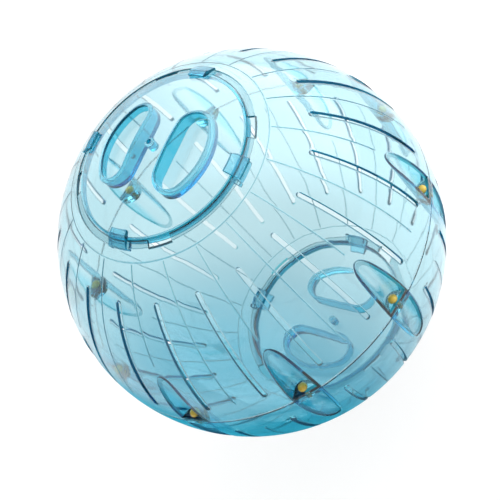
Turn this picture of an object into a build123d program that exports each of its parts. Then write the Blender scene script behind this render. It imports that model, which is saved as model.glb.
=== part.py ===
"""Clear exercise ball for a small animal: two half shells, two twist-off doors and ten seam pins.

Millimetres and degrees. The origin is the centre of the ball, +Z runs out through the front door,
and +X runs along the front door's grip bar. Polar angles count from the door axis.
"""
import os
from math import asin, cos, radians, sin, sqrt, tan

from build123d import *

os.makedirs("parts", exist_ok=True)

# Ball
ball_radius = 145.0
shell_wall = 2.4
seam_bevel = 0.4
seam_relief = 0.15
revolve_azimuth = 2.6

# Rim round the door mouth
mouth_radius = 66.9
rim_width = 4.9
rim_step = 0.6
window_start = 19.8
window_sweep = 14.7
stop_gap = 0.5
stop_sweep = 2.0
stop_depth = 3.0
clip_count = 4

# Vent slots
slot_count = 20
slot_width = 3.6
slot_top_angle = 44.9
slot_foot_angle = 82.4

# Scribed lines
line_width = 0.7
line_depth = 0.4
ring_line_angle = 33.5
line_top_angle = 34.0
line_count = 10
long_line_azimuth = 27.0
long_line_foot_angle = 81.5
short_line_azimuth = 9.0
short_line_foot_angle = 64.0

# Seam flutes and the tabs that close them
flute_count = 10
flute_azimuth = 9.0
flute_half_width = 10.1
flute_flank_angle = 30.0
flute_root_radius = 7.0
flute_wall = 2.4
tab_thickness = 4.0

# Push pins
pin_inset = 5.2
pin_shank_radius = 1.95
pin_hole_clearance = 0.15
pin_head_radius = 3.5
pin_head_rim = 0.9
pin_head_height = 3.3
pin_catch = 0.5
pin_tip_length = 3.4
pin_tip_radius = 1.1
pin_slit_width = 0.8
pin_slit_length = 6.5

# Door
door_gap = 0.4
door_wall = 2.4
door_skirt_wall = 2.2
door_skirt_foot = 0.6
lug_gap = 0.4
lug_thickness = 2.8
lug_end_gap = 0.7
lug_sweep = 12.2
clip_sweep = 12.6
clip_inner_reach = 5.2
clip_outer_reach = 6.0
clip_gap = 0.3
clip_edge_height = 2.2
clip_ridge_height = 3.8

# Finger hollows and centre boss of the door
grip_width = 30.0
finger_arc_radius = 43.0
finger_corner_share = 0.39
finger_depth = 13.5
boss_radius = 3.5
boss_length = 8.6
boss_bore_radius = 2.0
boss_bore_depth = 6.8

# The rear half and its door are the front ones turned over about this horizontal axis
turn_over_azimuth = 45.0
half_turn = 180.0
full_turn = 360.0

# Derived sizes
inner_radius = ball_radius - shell_wall
rim_radius = mouth_radius + rim_width
flange_radius = ball_radius - rim_step
door_radius = mouth_radius - door_gap
lug_top_radius = inner_radius - lug_gap
lug_floor_radius = lug_top_radius - lug_thickness
lug_reach_radius = rim_radius - lug_end_gap
pin_circle_radius = ball_radius - pin_inset
pin_hole_radius = pin_shank_radius + pin_hole_clearance
pin_barb_radius = pin_hole_radius + pin_catch
finger_floor = ball_radius - finger_depth
finger_reach = finger_arc_radius - grip_width / 2
beyond = ball_radius + ball_radius


def height_at(sphere_radius, radius):
    """Height of a sphere about the origin at a distance from the Z axis."""
    return sqrt(sphere_radius * sphere_radius - radius * radius)


def meridian(azimuth):
    """Half plane through the Z axis, with local x outward and local y up."""
    turn = radians(azimuth)
    return Plane(origin=(0, 0, 0), x_dir=(cos(turn), sin(turn), 0), z_dir=(sin(turn), -cos(turn), 0))


def along_meridian(polar_angle):
    """Plane of the meridian at azimuth 0, with local x pointing at the polar angle."""
    tilt = radians(polar_angle)
    return Plane(origin=(0, 0, 0), x_dir=(sin(tilt), 0, cos(tilt)), z_dir=(0, 1, 0))


def facing(polar_angle):
    """Plane through the centre square to a polar angle at azimuth 0, with local x down the meridian."""
    tilt = radians(polar_angle)
    return Plane(origin=(0, 0, 0), x_dir=(cos(tilt), 0, -sin(tilt)), z_dir=(sin(tilt), 0, cos(tilt)))


def column(low_radius, high_radius, mode):
    """Upright strip of a meridian sketch between two distances from the Z axis, above the seam."""
    with Locations(((low_radius + high_radius) / 2, beyond / 2)):
        Rectangle(high_radius - low_radius, beyond, mode=mode)


def band(outer_radius, low_radius, high_radius, core_radius):
    """Part of a spherical wall, in a meridian sketch, between two distances from the Z axis."""
    with BuildSketch(Plane.XY, mode=Mode.PRIVATE) as strip:
        Circle(outer_radius)
        Circle(core_radius, mode=Mode.SUBTRACT)
        column(low_radius, high_radius, Mode.INTERSECT)
    return strip.sketch


# Half shell: wall and stepped flange, with the ring line. At the seam the wall is bevelled and stands back
# a little, so that the halves meet on the pinned tabs.
with BuildPart() as shell_body:
    with BuildSketch(meridian(revolve_azimuth)):
        add(band(ball_radius, rim_radius, ball_radius, inner_radius))
        add(band(flange_radius, mouth_radius, rim_radius + shell_wall, inner_radius))
        ring_turn = radians(ring_line_angle)
        with Locations((ball_radius * sin(ring_turn), ball_radius * cos(ring_turn))):
            RegularPolygon(line_depth, 4, rotation=-ring_line_angle, mode=Mode.SUBTRACT)
        with Locations((ball_radius, 0)):
            Rectangle(4 * shell_wall, 2 * seam_relief, mode=Mode.SUBTRACT)
        with Locations((ball_radius, seam_relief)):
            RegularPolygon(seam_bevel, 4, mode=Mode.SUBTRACT)
    revolve(axis=Axis.Z)

# Seam flute: rounded V in plan, so that the half draws straight out of its mould
flute_depth = flute_half_width / tan(radians(flute_flank_angle))
flute_flare = (ball_radius + flute_depth) * tan(radians(flute_flank_angle))
with BuildSketch() as flute_plan:
    with BuildLine():
        Polyline(
            (ball_radius - flute_depth, 0),
            (beyond, flute_flare),
            (beyond, -flute_flare),
            close=True,
        )
    make_face()
    fillet(flute_plan.vertices().sort_by(Axis.X)[0], flute_root_radius)

with BuildPart() as flute_liner:
    with BuildSketch():
        add(flute_plan.sketch)
        offset(amount=flute_wall, kind=Kind.INTERSECTION)
    extrude(amount=ball_radius)
    Sphere(ball_radius - shell_wall / 2, mode=Mode.INTERSECT)

with BuildPart() as flute_cut:
    with BuildSketch(Plane.XY.offset(tab_thickness)):
        add(flute_plan.sketch)
    extrude(amount=ball_radius)
    with Locations((pin_circle_radius, 0, 0)):
        Cylinder(pin_hole_radius, beyond)

# Vent slot, cut square to the middle of its meridian
slot_middle_angle = (slot_top_angle + slot_foot_angle) / 2
slot_half_span = radians(slot_foot_angle - slot_top_angle) / 2
slot_chord = 2 * ball_radius * sin(slot_half_span)
slot_start = inner_radius * cos(slot_half_span) - shell_wall
with BuildPart() as slot_cut:
    with BuildSketch(facing(slot_middle_angle).offset(slot_start)):
        SlotOverall(slot_chord, slot_width)
    extrude(amount=ball_radius - slot_start + shell_wall)

# Scribed lines down the meridians
def scribed_line(foot_angle):
    """Shallow groove down the meridian at azimuth 0, from just below the ring line."""
    with BuildPart(mode=Mode.PRIVATE) as groove:
        with BuildSketch(along_meridian(line_top_angle)):
            with BuildLine():
                top_edge = CenterArc((0, 0), ball_radius + line_depth, 0, foot_angle - line_top_angle)
                floor_edge = CenterArc((0, 0), ball_radius - line_depth, 0, foot_angle - line_top_angle)
                Line(top_edge @ 0, floor_edge @ 0)
                Line(top_edge @ 1, floor_edge @ 1)
            make_face()
        extrude(amount=line_width / 2, both=True)
    return groove.part


long_line_cut = scribed_line(long_line_foot_angle)
short_line_cut = scribed_line(short_line_foot_angle)

# Window in the flange that lets a door lug through
with BuildPart() as window_cut:
    with BuildSketch(meridian(window_start)):
        column(mouth_radius - rim_width, rim_radius, Mode.ADD)
    revolve(axis=Axis.Z, revolution_arc=window_sweep)

# Stop that a locked lug comes to rest against
stop_azimuth = -(lug_sweep / 2 + stop_gap)
with BuildPart() as stop_rib:
    with BuildSketch(meridian(stop_azimuth)):
        add(band(flange_radius - shell_wall / 2, mouth_radius + door_gap, rim_radius, inner_radius - stop_depth))
    revolve(axis=Axis.Z, revolution_arc=-stop_sweep)

with BuildPart() as front_half_shell:
    add(shell_body.part)
    with PolarLocations(0, flute_count, start_angle=flute_azimuth):
        add(flute_liner.part)
    with PolarLocations(0, flute_count, start_angle=flute_azimuth):
        add(flute_cut.part, mode=Mode.SUBTRACT)
    with PolarLocations(0, clip_count):
        add(stop_rib.part)
    with PolarLocations(0, clip_count):
        add(window_cut.part, mode=Mode.SUBTRACT)
    with PolarLocations(0, slot_count):
        add(slot_cut.part, mode=Mode.SUBTRACT)
    with PolarLocations(0, line_count, start_angle=long_line_azimuth):
        add(long_line_cut, mode=Mode.SUBTRACT)
    with PolarLocations(0, line_count, start_angle=short_line_azimuth):
        add(short_line_cut, mode=Mode.SUBTRACT)

# Finger hollow of the door: straight side on the grip bar, curved side about the door axis
with BuildSketch() as finger_plan:
    Circle(finger_arc_radius)
    with Locations((0, grip_width / 2 + finger_arc_radius)):
        Rectangle(beyond, 2 * finger_arc_radius, mode=Mode.INTERSECT)
    fillet(finger_plan.vertices(), finger_corner_share * finger_reach)

with BuildPart() as finger_liner:
    with BuildSketch(Plane.XY.offset(finger_floor - door_wall)):
        add(finger_plan.sketch)
        offset(amount=door_wall)
    extrude(amount=ball_radius)
    Sphere(ball_radius - door_wall / 2, mode=Mode.INTERSECT)

with BuildPart() as finger_cut:
    with BuildSketch(Plane.XY.offset(finger_floor)):
        add(finger_plan.sketch)
    extrude(amount=ball_radius)

# Bayonet lug that turns in under the flange
with BuildPart() as lug:
    with BuildSketch(meridian(-lug_sweep / 2)):
        add(band(lug_top_radius, door_radius - door_skirt_wall / 2, lug_reach_radius, lug_floor_radius))
    revolve(axis=Axis.Z, revolution_arc=lug_sweep)

# Clip above each lug: a small roof on the door's edge that rests over the flange
clip_inner_radius = mouth_radius - clip_inner_reach
clip_outer_radius = mouth_radius + clip_outer_reach
with BuildSketch() as clip_roof:
    with BuildLine():
        Polyline(
            (clip_inner_radius, 0),
            (clip_inner_radius, height_at(ball_radius, clip_inner_radius) + clip_edge_height),
            (door_radius, height_at(ball_radius, door_radius) + clip_ridge_height),
            (clip_outer_radius, height_at(ball_radius, clip_outer_radius) + clip_edge_height),
            (clip_outer_radius, 0),
            close=True,
        )
    make_face()

with BuildPart() as clip:
    with BuildSketch(meridian(-clip_sweep / 2)):
        add(clip_roof.sketch)
        Circle(ball_radius + clip_gap, mode=Mode.SUBTRACT)
        with BuildSketch(Plane.XY, mode=Mode.PRIVATE) as clip_root:
            Circle(ball_radius + clip_edge_height / 2)
            Circle(ball_radius - door_wall / 2, mode=Mode.SUBTRACT)
            column(clip_inner_radius, door_radius + door_gap / 2, Mode.INTERSECT)
        add(clip_root.sketch)
    revolve(axis=Axis.Z, revolution_arc=clip_sweep)

with BuildPart() as front_door:
    with BuildSketch(meridian(revolve_azimuth)):
        add(band(ball_radius, 0, door_radius, ball_radius - door_wall))
        add(band(ball_radius, door_radius - door_skirt_wall, door_radius, lug_floor_radius - door_skirt_foot))
    revolve(axis=Axis.Z)
    with PolarLocations(0, 2):
        add(finger_liner.part)
    with Locations((0, 0, ball_radius - boss_length)):
        Cylinder(boss_radius, boss_length - door_wall / 2, align=(Align.CENTER, Align.CENTER, Align.MIN))
    with PolarLocations(0, 2):
        add(finger_cut.part, mode=Mode.SUBTRACT)
    with Locations((0, 0, ball_radius - boss_bore_depth)):
        Cylinder(boss_bore_radius, ball_radius, align=(Align.CENTER, Align.CENTER, Align.MIN),
                 mode=Mode.SUBTRACT)
    with PolarLocations(0, clip_count):
        add(lug.part)
    with PolarLocations(0, clip_count):
        add(clip.part)

# Push pin: domed head on the front tab, split barb behind the rear tab
dome_height = pin_head_height - pin_head_rim
dome_radius = (pin_head_radius * pin_head_radius + dome_height * dome_height) / (2 * dome_height)
dome_centre = tab_thickness + pin_head_height - dome_radius
dome_half_angle = asin(pin_head_radius / dome_radius) / 2
with BuildPart() as push_pin:
    with BuildSketch(Plane.XZ):
        with BuildLine():
            Polyline(
                (0, tab_thickness + pin_head_height),
                (0, -tab_thickness - pin_tip_length),
                (pin_tip_radius, -tab_thickness - pin_tip_length),
                (pin_barb_radius, -tab_thickness),
                (pin_shank_radius, -tab_thickness),
                (pin_shank_radius, tab_thickness),
                (pin_head_radius, tab_thickness),
                (pin_head_radius, tab_thickness + pin_head_rim),
            )
            ThreePointArc(
                (pin_head_radius, tab_thickness + pin_head_rim),
                (dome_radius * sin(dome_half_angle), dome_centre + dome_radius * cos(dome_half_angle)),
                (0, tab_thickness + pin_head_height),
            )
        make_face()
    revolve(axis=Axis.Z)
    with Locations((0, 0, -tab_thickness - pin_tip_length)):
        Box(beyond, pin_slit_width, pin_slit_length, align=(Align.CENTER, Align.CENTER, Align.MIN),
            mode=Mode.SUBTRACT)

turn = radians(turn_over_azimuth)
turn_over_axis = Axis((0, 0, 0), (cos(turn), sin(turn), 0))

front_half_shell.part.label = "front_half_shell"
export_step(front_half_shell.part, "parts/front_half_shell.step")

rear_half_shell = front_half_shell.part.rotate(turn_over_axis, half_turn)
rear_half_shell.label = "rear_half_shell"
export_step(rear_half_shell, "parts/rear_half_shell.step")

front_door.part.label = "front_door"
export_step(front_door.part, "parts/front_door.step")

rear_door = front_door.part.rotate(turn_over_axis, half_turn)
rear_door.label = "rear_door"
export_step(rear_door, "parts/rear_door.step")

for number in range(flute_count):
    pin_azimuth = flute_azimuth + number * full_turn / flute_count
    with BuildPart() as seam_pin:
        with Locations(Location((0, 0, 0), (0, 0, pin_azimuth)) * Location((pin_circle_radius, 0, 0))):
            add(push_pin.part)
    seam_pin.part.label = f"pin_{number + 1:02d}"
    export_step(seam_pin.part, f"parts/pin_{number + 1:02d}.step")
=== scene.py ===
"""Clear pet exercise ball: materials, soft light and the photograph's camera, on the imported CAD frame."""
import math

import bpy
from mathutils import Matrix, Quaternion, Vector

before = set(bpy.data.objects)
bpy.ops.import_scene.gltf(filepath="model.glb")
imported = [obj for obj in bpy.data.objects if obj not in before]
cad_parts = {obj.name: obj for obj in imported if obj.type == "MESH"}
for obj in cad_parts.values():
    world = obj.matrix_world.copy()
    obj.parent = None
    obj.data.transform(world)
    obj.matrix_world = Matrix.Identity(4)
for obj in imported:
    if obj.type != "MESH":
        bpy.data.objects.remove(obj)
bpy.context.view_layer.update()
scene = bpy.context.scene

# Lengths are in metres. A noise is given as scale, detail and roughness, a bump as strength and distance.
BALL_RADIUS = 0.145
SHELLS = ("front_half_shell", "rear_half_shell")
DOORS = ("front_door", "rear_door")
PIN_PREFIX = "pin_"
UNIT = (0.0, 1.0)

# Clear plastic
PLASTIC_IOR = 1.5
FACE_TINT = (0.925, 0.935, 0.94, 1.0)
FACE_TINT_PALE = (0.94, 0.945, 0.95, 1.0)
SHELL_WALL_TINT = (0.55, 0.88, 0.95, 1.0)
DOOR_WALL_TINT = (0.14, 0.64, 0.80, 1.0)
RIM_TINT = (0.05, 0.42, 0.58, 1.0)
CLIP_TINT = (0.30, 0.72, 0.88, 1.0)
EDGE_TINT = (0.02, 0.34, 0.42, 1.0)
EDGE_ROUGHNESS = 0.3
EDGE_ROUNDING = 0.001
EDGE_SAMPLES = 4
DEPTH_COLOUR = (0.10, 0.755, 0.875, 1.0)
DEPTH_DENSITY = 118.0
FLOW_NOISE = (22.0, 2.0, 0.4)
FLOW_STOPS = (0.35, 0.7)
FLOW_BUMP = (0.12, 0.0006)
HAZE_NOISE = (160.0, 5.0, 0.6)
HAZE_ROUGHNESS = 0.03

# Where the tints go: cosines between normal and radius, distances from the ball's centre and from its axis
WALL_COSINES = (0.9, 0.5)
CUT_RADII = (0.1426, 0.160)
SCRIBED_RADII = (0.1430, 0.14475)
SCRIBED_SHARE = 0.6
PROUD_RADII = (0.1453, 0.160)
RIM_RADII = (0.060, 0.076)
SEAM_HEIGHTS = (-0.0012, 0.0012)

# Pins
PIN_TINT = (0.80, 0.52, 0.05, 1.0)
PIN_TINT_PALE = (0.92, 0.68, 0.14, 1.0)
PIN_NOISE = (420.0, 4.0, 0.55)
PIN_STOPS = (0.3, 0.7)
PIN_ROUGHNESS = (0.18, 0.38)
PIN_BUMP = (0.15, 0.0002)

# Paper floor. Its glow grows towards the key's side as painted light, and a painted blue shadow of the ball
# lies at its foot on the other side, seen only through the plastic or in its reflections.
FLOOR_HALF = 6.0
FLOOR_CORNERS = ((-1, -1), (1, -1), (1, 1), (-1, 1))
PAPER_GREY = 0.46
PAPER_GREY_SEEN = 0.18
# The paper's glow rises from its even level to a brighter one towards the key's side: painted light.
PAPER_GLOW_AND_PAINTED_LIGHT = (0.88, 1.2)
PAINTED_LIGHT_DIRECTION = (0.9, -0.43, 0.0)
PAINTED_LIGHT_REACH = (0.04, 0.18)
# Painted blue shadow at the ball's foot: its centre, stretch, reach, tint and paper colour.
PAINTED_SHADOW_PLACE = (-0.13, 0.04, -BALL_RADIUS)
PAINTED_SHADOW_SCALE = (1.0, 0.65, 1.0)
PAINTED_SHADOW_REACH = (0.22, 0.06)
PAINTED_SHADOW_TINT = (0.05, 0.43, 0.57, 1.0)
PAINTED_SHADOW_PAPER = tuple(PAPER_GREY_SEEN * part for part in PAINTED_SHADOW_TINT)

# Soft light, in directions from the ball. The key comes from above as the photograph is held, which leans
# away from the ball's own axis, and the sheen is what the door mirrors to the camera.
KEY_DIRECTION = (0.85, -0.05, 0.5)
KEY_LEVEL = 2.6
SHEEN_DIRECTION = (0.33, 0.66, 0.67)
SHEEN_LEVEL = 0.6
GLOW_COSINES = (0.4, 1.0)
SURROUND_LEVEL = 0.35
UP = (0.0, 0.0, 1.0)
HORIZON_COSINES = (0.5, 0.0)
WHITE = (1.0, 1.0, 1.0, 1.0)
BOUNCES = 24

# Camera, from the fit of the ball's outline, seam, slots and door to the photograph
CAMERA_DISTANCE = 1.0675
CAMERA_POLAR = 42.32
CAMERA_AZIMUTH = 244.72
CAMERA_ROLL = -45.80
CAMERA_LENS = 102.26
CAMERA_SENSOR = 36.0
CAMERA_SHIFT = (-0.0041, -0.0158)


def new_material(name):
    """Empty node material with an output node."""
    material = bpy.data.materials.new(name)
    material.use_nodes = True
    nodes = material.node_tree.nodes
    nodes.clear()
    return material, nodes, material.node_tree.links, nodes.new("ShaderNodeOutputMaterial")


def operate(nodes, links, kind, operation, values):
    """Math node of a kind on outputs and fixed values."""
    node = nodes.new(kind)
    node.operation = operation
    for socket, value in zip(node.inputs, values):
        if isinstance(value, bpy.types.NodeSocket):
            links.new(value, socket)
        else:
            socket.default_value = value
    return node.outputs


def arithmetic(nodes, links, operation, *values):
    """Result of an operation on numbers."""
    return operate(nodes, links, "ShaderNodeMath", operation, values)["Value"]


def vector_number(nodes, links, operation, *values):
    """Number that comes from an operation on vectors."""
    return operate(nodes, links, "ShaderNodeVectorMath", operation, values)["Value"]


def vector(nodes, links, operation, *values):
    """Vector that comes from an operation on vectors."""
    return operate(nodes, links, "ShaderNodeVectorMath", operation, values)["Vector"]


def remap(nodes, links, value, reach, levels, curve="LINEAR"):
    """Maps a range of values to a pair of levels, held at the levels beyond it."""
    node = nodes.new("ShaderNodeMapRange")
    node.interpolation_type = curve
    for socket, number in zip(("From Min", "From Max", "To Min", "To Max"), (*reach, *levels)):
        node.inputs[socket].default_value = number
    links.new(value, node.inputs["Value"])
    return node.outputs["Result"]


def within(nodes, links, value, reach):
    """1 where a value lies in a range, 0 elsewhere."""
    low, high = reach
    return arithmetic(nodes, links, "COMPARE", value, (low + high) / 2, (high - low) / 2)


def noise(nodes, links, where, settings):
    """Noise texture in object space."""
    node = nodes.new("ShaderNodeTexNoise")
    for socket, number in zip(("Scale", "Detail", "Roughness"), settings):
        node.inputs[socket].default_value = number
    links.new(where, node.inputs["Vector"])
    return node.outputs["Fac"]


def bump(nodes, links, height, settings):
    """Bump node on a height."""
    node = nodes.new("ShaderNodeBump")
    for socket, number in zip(("Strength", "Distance"), settings):
        node.inputs[socket].default_value = number
    links.new(height, node.inputs["Height"])
    return node


def ramp(nodes, links, factor, positions, colours):
    """Colour ramp between two colours."""
    node = nodes.new("ShaderNodeValToRGB")
    for element, position, colour in zip(node.color_ramp.elements, positions, colours):
        element.position = position
        element.color = colour
    links.new(factor, node.inputs["Fac"])
    return node.outputs["Color"]


def blend(nodes, links, factor, first, second):
    """Mixes a colour output with a fixed colour."""
    node = nodes.new("ShaderNodeMix")
    node.data_type = "RGBA"
    links.new(factor, node.inputs["Factor"])
    links.new(first, node.inputs["A"])
    node.inputs["B"].default_value = second
    return node.outputs["Result"]


def distances(nodes, links, where):
    """Distance from the ball's centre, distance from its axis, and height over the seam."""
    axes = nodes.new("ShaderNodeSeparateXYZ")
    links.new(where, axes.inputs["Vector"])
    x, y, z = (axes.outputs[axis] for axis in "XYZ")
    flat = arithmetic(nodes, links, "MULTIPLY_ADD", x, x, arithmetic(nodes, links, "MULTIPLY", y, y))
    whole = arithmetic(nodes, links, "MULTIPLY_ADD", z, z, flat)
    return arithmetic(nodes, links, "SQRT", whole), arithmetic(nodes, links, "SQRT", flat), z


def wall_share(nodes, links, coordinates):
    """0 on the ball's round faces, 1 on walls that run in from them: slots, flutes, skirts and hollows."""
    outward = vector(nodes, links, "NORMALIZE", coordinates.outputs["Object"])
    cosine = vector_number(nodes, links, "DOT_PRODUCT", outward, coordinates.outputs["Normal"])
    return remap(nodes, links, arithmetic(nodes, links, "ABSOLUTE", cosine), WALL_COSINES, UNIT)


def clear_plastic(name, wall_tint):
    """Moulded clear plastic: blue in its depth, with flow waves, haze, tinted walls and satin cut edges."""
    material, nodes, links, out = new_material(name)
    coordinates = nodes.new("ShaderNodeTexCoord")
    where = coordinates.outputs["Object"]
    shader = nodes.new("ShaderNodeBsdfPrincipled")
    shader.inputs["IOR"].default_value = PLASTIC_IOR
    shader.inputs["Transmission Weight"].default_value = 1.0

    # Shares of the surface that take each tint. The faces that meet at the seam stay clear.
    radius, axis_radius, height = distances(nodes, links, where)
    seam = within(nodes, links, height, SEAM_HEIGHTS)
    wall = arithmetic(nodes, links, "SUBTRACT", wall_share(nodes, links, coordinates), seam)
    wall = arithmetic(nodes, links, "MAXIMUM", wall, 0.0)
    rim = arithmetic(nodes, links, "MULTIPLY", wall, within(nodes, links, axis_radius, RIM_RADII))
    proud = within(nodes, links, radius, PROUD_RADII)
    cut = arithmetic(nodes, links, "MULTIPLY", wall, within(nodes, links, radius, CUT_RADII))
    scribed = within(nodes, links, radius, SCRIBED_RADII)
    scribed = arithmetic(nodes, links, "MULTIPLY", scribed, SCRIBED_SHARE)
    edge = arithmetic(nodes, links, "MAXIMUM", cut, scribed)

    flow = noise(nodes, links, where, FLOW_NOISE)
    colour = ramp(nodes, links, flow, FLOW_STOPS, (FACE_TINT, FACE_TINT_PALE))
    for share, tint in ((wall, wall_tint), (rim, RIM_TINT), (proud, CLIP_TINT), (edge, EDGE_TINT)):
        colour = blend(nodes, links, share, colour, tint)
    links.new(colour, shader.inputs["Base Color"])

    haze = remap(nodes, links, noise(nodes, links, where, HAZE_NOISE), UNIT, (0.0, HAZE_ROUGHNESS))
    satin = remap(nodes, links, edge, UNIT, (0.0, EDGE_ROUGHNESS))
    links.new(arithmetic(nodes, links, "MAXIMUM", haze, satin), shader.inputs["Roughness"])

    bevel = nodes.new("ShaderNodeBevel")
    bevel.samples = EDGE_SAMPLES
    bevel.inputs["Radius"].default_value = EDGE_ROUNDING
    waves = bump(nodes, links, flow, FLOW_BUMP)
    links.new(bevel.outputs["Normal"], waves.inputs["Normal"])
    links.new(waves.outputs["Normal"], shader.inputs["Normal"])

    depth = nodes.new("ShaderNodeVolumeAbsorption")
    depth.inputs["Color"].default_value = DEPTH_COLOUR
    depth.inputs["Density"].default_value = DEPTH_DENSITY
    links.new(shader.outputs["BSDF"], out.inputs["Surface"])
    links.new(depth.outputs["Volume"], out.inputs["Volume"])
    return material


def pin_plastic(name):
    """Golden yellow moulded plastic with a slight mottle."""
    material, nodes, links, out = new_material(name)
    where = nodes.new("ShaderNodeTexCoord").outputs["Object"]
    shader = nodes.new("ShaderNodeBsdfPrincipled")
    mottle = noise(nodes, links, where, PIN_NOISE)
    colour = ramp(nodes, links, mottle, PIN_STOPS, (PIN_TINT, PIN_TINT_PALE))
    links.new(colour, shader.inputs["Base Color"])
    links.new(remap(nodes, links, mottle, UNIT, PIN_ROUGHNESS), shader.inputs["Roughness"])
    grain = bump(nodes, links, mottle, PIN_BUMP)
    links.new(grain.outputs["Normal"], shader.inputs["Normal"])
    links.new(shader.outputs["BSDF"], out.inputs["Surface"])
    return material


def floor_paper(name):
    """White paper that glows where it is seen, more to one side as painted light, with a painted blue shadow
    seen through the plastic.
    """
    material, nodes, links, out = new_material(name)
    where = nodes.new("ShaderNodeTexCoord").outputs["Object"]
    path = nodes.new("ShaderNodeLightPath").outputs
    through = arithmetic(nodes, links, "MAXIMUM", path["Is Glossy Ray"], path["Is Transmission Ray"])
    seen = arithmetic(nodes, links, "MAXIMUM", through, path["Is Camera Ray"])

    # Painted blue shadow at the ball's foot, shown only to rays that come through or off the plastic.
    from_painted_shadow = vector(nodes, links, "SUBTRACT", where, PAINTED_SHADOW_PLACE)
    from_painted_shadow = vector(nodes, links, "MULTIPLY", from_painted_shadow, PAINTED_SHADOW_SCALE)
    painted_shadow_distance = vector_number(nodes, links, "LENGTH", from_painted_shadow)
    painted_shadow = remap(nodes, links, painted_shadow_distance, PAINTED_SHADOW_REACH, UNIT, "SMOOTHSTEP")
    painted_shadow = arithmetic(nodes, links, "MULTIPLY", painted_shadow, through)

    # The paper's colour takes the painted shadow's tint where it lies.
    paper = nodes.new("ShaderNodeBsdfDiffuse")
    grey = remap(nodes, links, seen, UNIT, (PAPER_GREY, PAPER_GREY_SEEN))
    links.new(blend(nodes, links, painted_shadow, grey, PAINTED_SHADOW_PAPER), paper.inputs["Color"])

    # The glow takes the painted shadow's tint as well.
    glow = nodes.new("ShaderNodeEmission")
    links.new(blend(nodes, links, painted_shadow, seen, PAINTED_SHADOW_TINT), glow.inputs["Color"])
    # Painted light: the glow grows towards the key's side.
    along_painted_light = vector_number(nodes, links, "DOT_PRODUCT", where, PAINTED_LIGHT_DIRECTION)
    strength = remap(nodes, links, along_painted_light, PAINTED_LIGHT_REACH, PAPER_GLOW_AND_PAINTED_LIGHT, "SMOOTHSTEP")
    links.new(strength, glow.inputs["Strength"])

    both = nodes.new("ShaderNodeAddShader")
    links.new(paper.outputs["BSDF"], both.inputs[0])
    links.new(glow.outputs["Emission"], both.inputs[1])
    links.new(both.outputs["Shader"], out.inputs["Surface"])
    return material


def dress(names, material):
    """Gives the CAD objects of the named nodes one material."""
    for name in names:
        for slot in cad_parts[name].material_slots:
            slot.material = material


dress(SHELLS, clear_plastic("shell_plastic", SHELL_WALL_TINT))
dress(DOORS, clear_plastic("door_plastic", DOOR_WALL_TINT))
dress([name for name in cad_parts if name.startswith(PIN_PREFIX)], pin_plastic("pin_plastic"))

# Floor
floor_mesh = bpy.data.meshes.new("floor")
corners = [(x * FLOOR_HALF, y * FLOOR_HALF, -BALL_RADIUS) for x, y in FLOOR_CORNERS]
floor_mesh.from_pydata(corners, [], [(0, 1, 2, 3)])
floor_mesh.materials.append(floor_paper("floor_paper"))
floor = bpy.data.objects.new("floor", floor_mesh)
scene.collection.objects.link(floor)

# World: even surround with two broad soft glows, white at the horizon
world = bpy.data.worlds.new("studio")
scene.world = world
world.use_nodes = True
world_nodes = world.node_tree.nodes
world_links = world.node_tree.links
world_nodes.clear()
direction = world_nodes.new("ShaderNodeTexCoord").outputs["Generated"]
strength = SURROUND_LEVEL
for glow_direction, cosines, glow_level in (
        (KEY_DIRECTION, GLOW_COSINES, KEY_LEVEL),
        (SHEEN_DIRECTION, GLOW_COSINES, SHEEN_LEVEL),
        (UP, HORIZON_COSINES, 1.0 - SURROUND_LEVEL)):
    aim = Vector(glow_direction).normalized()
    cosine = vector_number(world_nodes, world_links, "DOT_PRODUCT", direction, aim)
    glow = remap(world_nodes, world_links, cosine, cosines, (0.0, glow_level), "SMOOTHSTEP")
    strength = arithmetic(world_nodes, world_links, "ADD", glow, strength)
sky = world_nodes.new("ShaderNodeBackground")
sky.inputs["Color"].default_value = WHITE
world_links.new(strength, sky.inputs["Strength"])
world_links.new(sky.outputs["Background"], world_nodes.new("ShaderNodeOutputWorld").inputs["Surface"])

# Camera
polar = math.radians(CAMERA_POLAR)
azimuth = math.radians(CAMERA_AZIMUTH)
towards = Vector((math.sin(polar) * math.cos(azimuth), math.sin(polar) * math.sin(azimuth), math.cos(polar)))
camera_data = bpy.data.cameras.new("camera")
camera_data.sensor_width = CAMERA_SENSOR
camera_data.lens = CAMERA_LENS
camera_data.shift_x, camera_data.shift_y = CAMERA_SHIFT
camera = bpy.data.objects.new("camera", camera_data)
camera.location = towards * CAMERA_DISTANCE
camera.rotation_mode = "QUATERNION"
roll = Quaternion((0, 0, 1), math.radians(CAMERA_ROLL))
camera.rotation_quaternion = (-towards).to_track_quat("-Z", "Y") @ roll
scene.collection.objects.link(camera)
scene.camera = camera

scene.view_settings.view_transform = "Standard"
scene.cycles.max_bounces = BOUNCES
scene.cycles.transmission_bounces = BOUNCES
scene.cycles.glossy_bounces = BOUNCES
